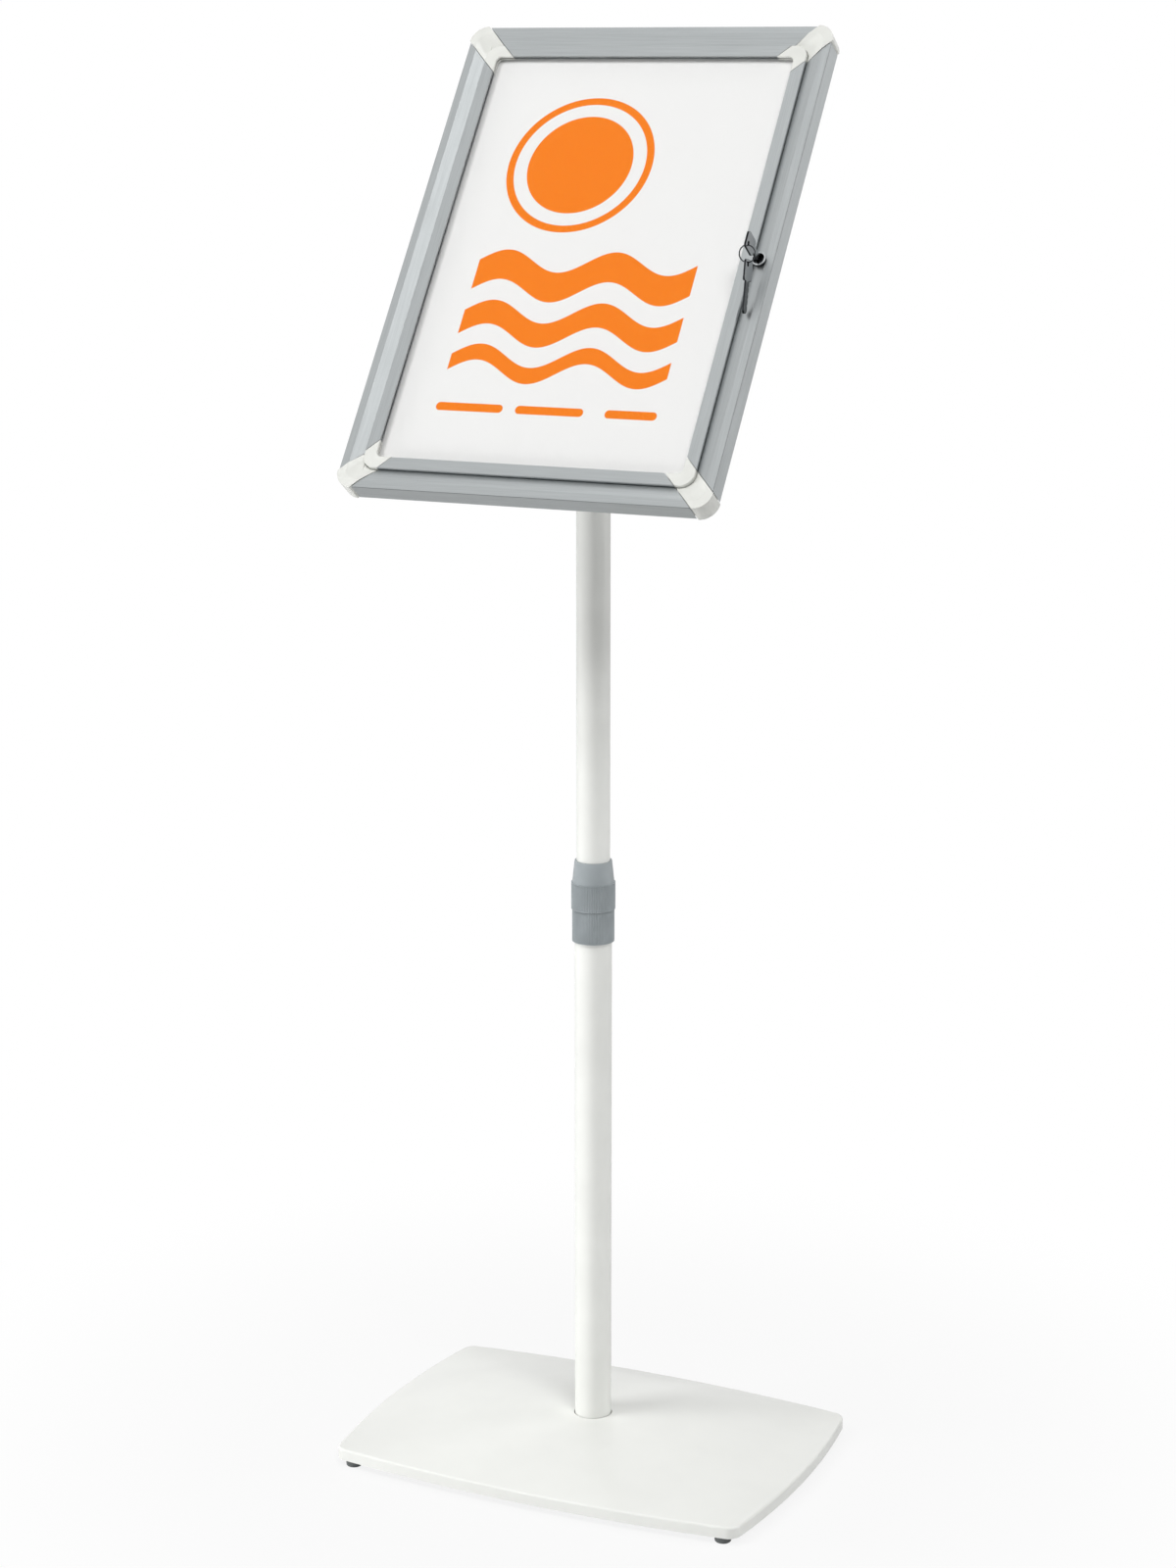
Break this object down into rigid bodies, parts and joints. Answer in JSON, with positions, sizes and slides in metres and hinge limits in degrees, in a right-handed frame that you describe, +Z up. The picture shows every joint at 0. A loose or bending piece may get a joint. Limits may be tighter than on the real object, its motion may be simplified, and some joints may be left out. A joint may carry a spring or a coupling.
{
  "type": "lockable display stand",
  "caption": "Free-standing display stand with a crowned base, telescopic mast, tilting and swivelling head, and a framed poster case with a hinged lockable door.",
  "frame": {"origin": "on the floor under the mast's axis", "axes": "+Z up along the mast, the poster case faces -Y and leans back, +X to the viewer's right"},
  "size_m": [0.424, 0.303, 1.3057],
  "materials": {
    "white_base": "gloss white powder coat",
    "white_tube": "gloss white powder coat",
    "cast_head": "satin white paint",
    "steel": "zinc plated",
    "foot_rubber": "matt dark grey",
    "grey_collar": "fine ribbed grey",
    "black_plastic": "matt black",
    "aluminium_rail": "satin anodised",
    "white_corner": "smooth moulded",
    "clear_pane": "clear polished",
    "board": "matt light grey",
    "paper": "printed matt paper",
    "lock_chrome": "polished",
    "key_steel": "nickel plated"
  },
  "bodies": {
    "base": {"base_cover": "white_base", "ballast_plate": "steel", "rubber_feet": "foot_rubber", "foot_screws": "steel", "base_bolt": "steel", "base_washer": "steel", "tube_foot_plug": "steel", "lower_tube": "white_tube", "clamp_sleeve": "grey_collar", "clamp_collet": "grey_collar"},
    "clamp": {"clamp_ring": "grey_collar"},
    "mast": {"upper_tube": "white_tube", "guide_bush": "black_plastic", "tube_head": "cast_head", "head_screws": "steel"},
    "head": {"tilt_bracket": "cast_head", "tilt_bolt": "steel", "tilt_nut": "steel", "tilt_washers": "steel"},
    "case": {"frame_rail_left": "aluminium_rail", "frame_rail_right": "aluminium_rail", "frame_rail_top": "aluminium_rail", "frame_rail_bottom": "aluminium_rail", "frame_corner_top_left": "white_corner", "frame_corner_top_right": "white_corner", "frame_corner_bottom_left": "white_corner", "frame_corner_bottom_right": "white_corner", "back_board": "board", "back_plate": "cast_head", "plate_screws": "steel", "poster_sheet": "paper", "hinge_pins": "white_corner", "lock_body": "lock_chrome", "lock_nut": "steel", "swivel_bolt": "steel", "swivel_washer": "black_plastic", "swivel_nut": "steel"},
    "door": {"door_rail_left": "aluminium_rail", "door_rail_right": "aluminium_rail", "door_rail_top": "aluminium_rail", "door_rail_bottom": "aluminium_rail", "door_corner_top_left": "white_corner", "door_corner_top_right": "white_corner", "door_corner_bottom_left": "white_corner", "door_corner_bottom_right": "white_corner", "door_pane": "clear_pane", "lock_strike": "steel"},
    "lock": {"lock_plug": "lock_chrome", "lock_cam": "steel", "lock_key": "key_steel"},
    "key_ring": {"key_ring": "key_steel"},
    "spare_key": {"spare_key": "key_steel"}
  },
  "joints": [
    {"name": "mast_slide", "type": "slide", "parent": "base", "child": "mast", "axis": [0, 0, 1], "range_m": [-0.23, 0.15]},
    {"name": "clamp_twist", "type": "hinge", "parent": "base", "child": "clamp", "pos_m": [0, 0, 0.5383], "axis": [0, 0, 1], "range_deg": [0, 90]},
    {"name": "head_tilt", "type": "hinge", "parent": "mast", "child": "head", "pos_m": [0, 0, 1.07169], "axis": [-1, 0, 0], "range_deg": [-30, 50]},
    {"name": "panel_swivel", "type": "hinge", "parent": "head", "child": "case", "pos_m": [0, -0.0165, 1.1119], "axis": [0, -0.8161, 0.5779], "range_deg": [0, 90]},
    {"name": "door_swing", "type": "hinge", "parent": "case", "child": "door", "pos_m": [-0.1538, -0.01438, 1.1104], "axis": [0, -0.5779, -0.8161], "range_deg": [0, 70]},
    {"name": "lock_turn", "type": "hinge", "parent": "case", "child": "lock", "pos_m": [0.1617, -0.0165, 1.1119], "axis": [0, 0.8161, -0.5779], "range_deg": [0, 90]},
    {"name": "ring_swing", "type": "hinge", "parent": "lock", "child": "key_ring", "pos_m": [0.1617, -0.04353, 1.12601], "axis": [-1, 0, 0], "range_deg": [0, 60]},
    {"name": "spare_swing", "type": "hinge", "parent": "key_ring", "child": "spare_key", "pos_m": [0.1617, -0.04353, 1.11162], "axis": [-1, 0, 0], "range_deg": [0, 60]}
  ]
}
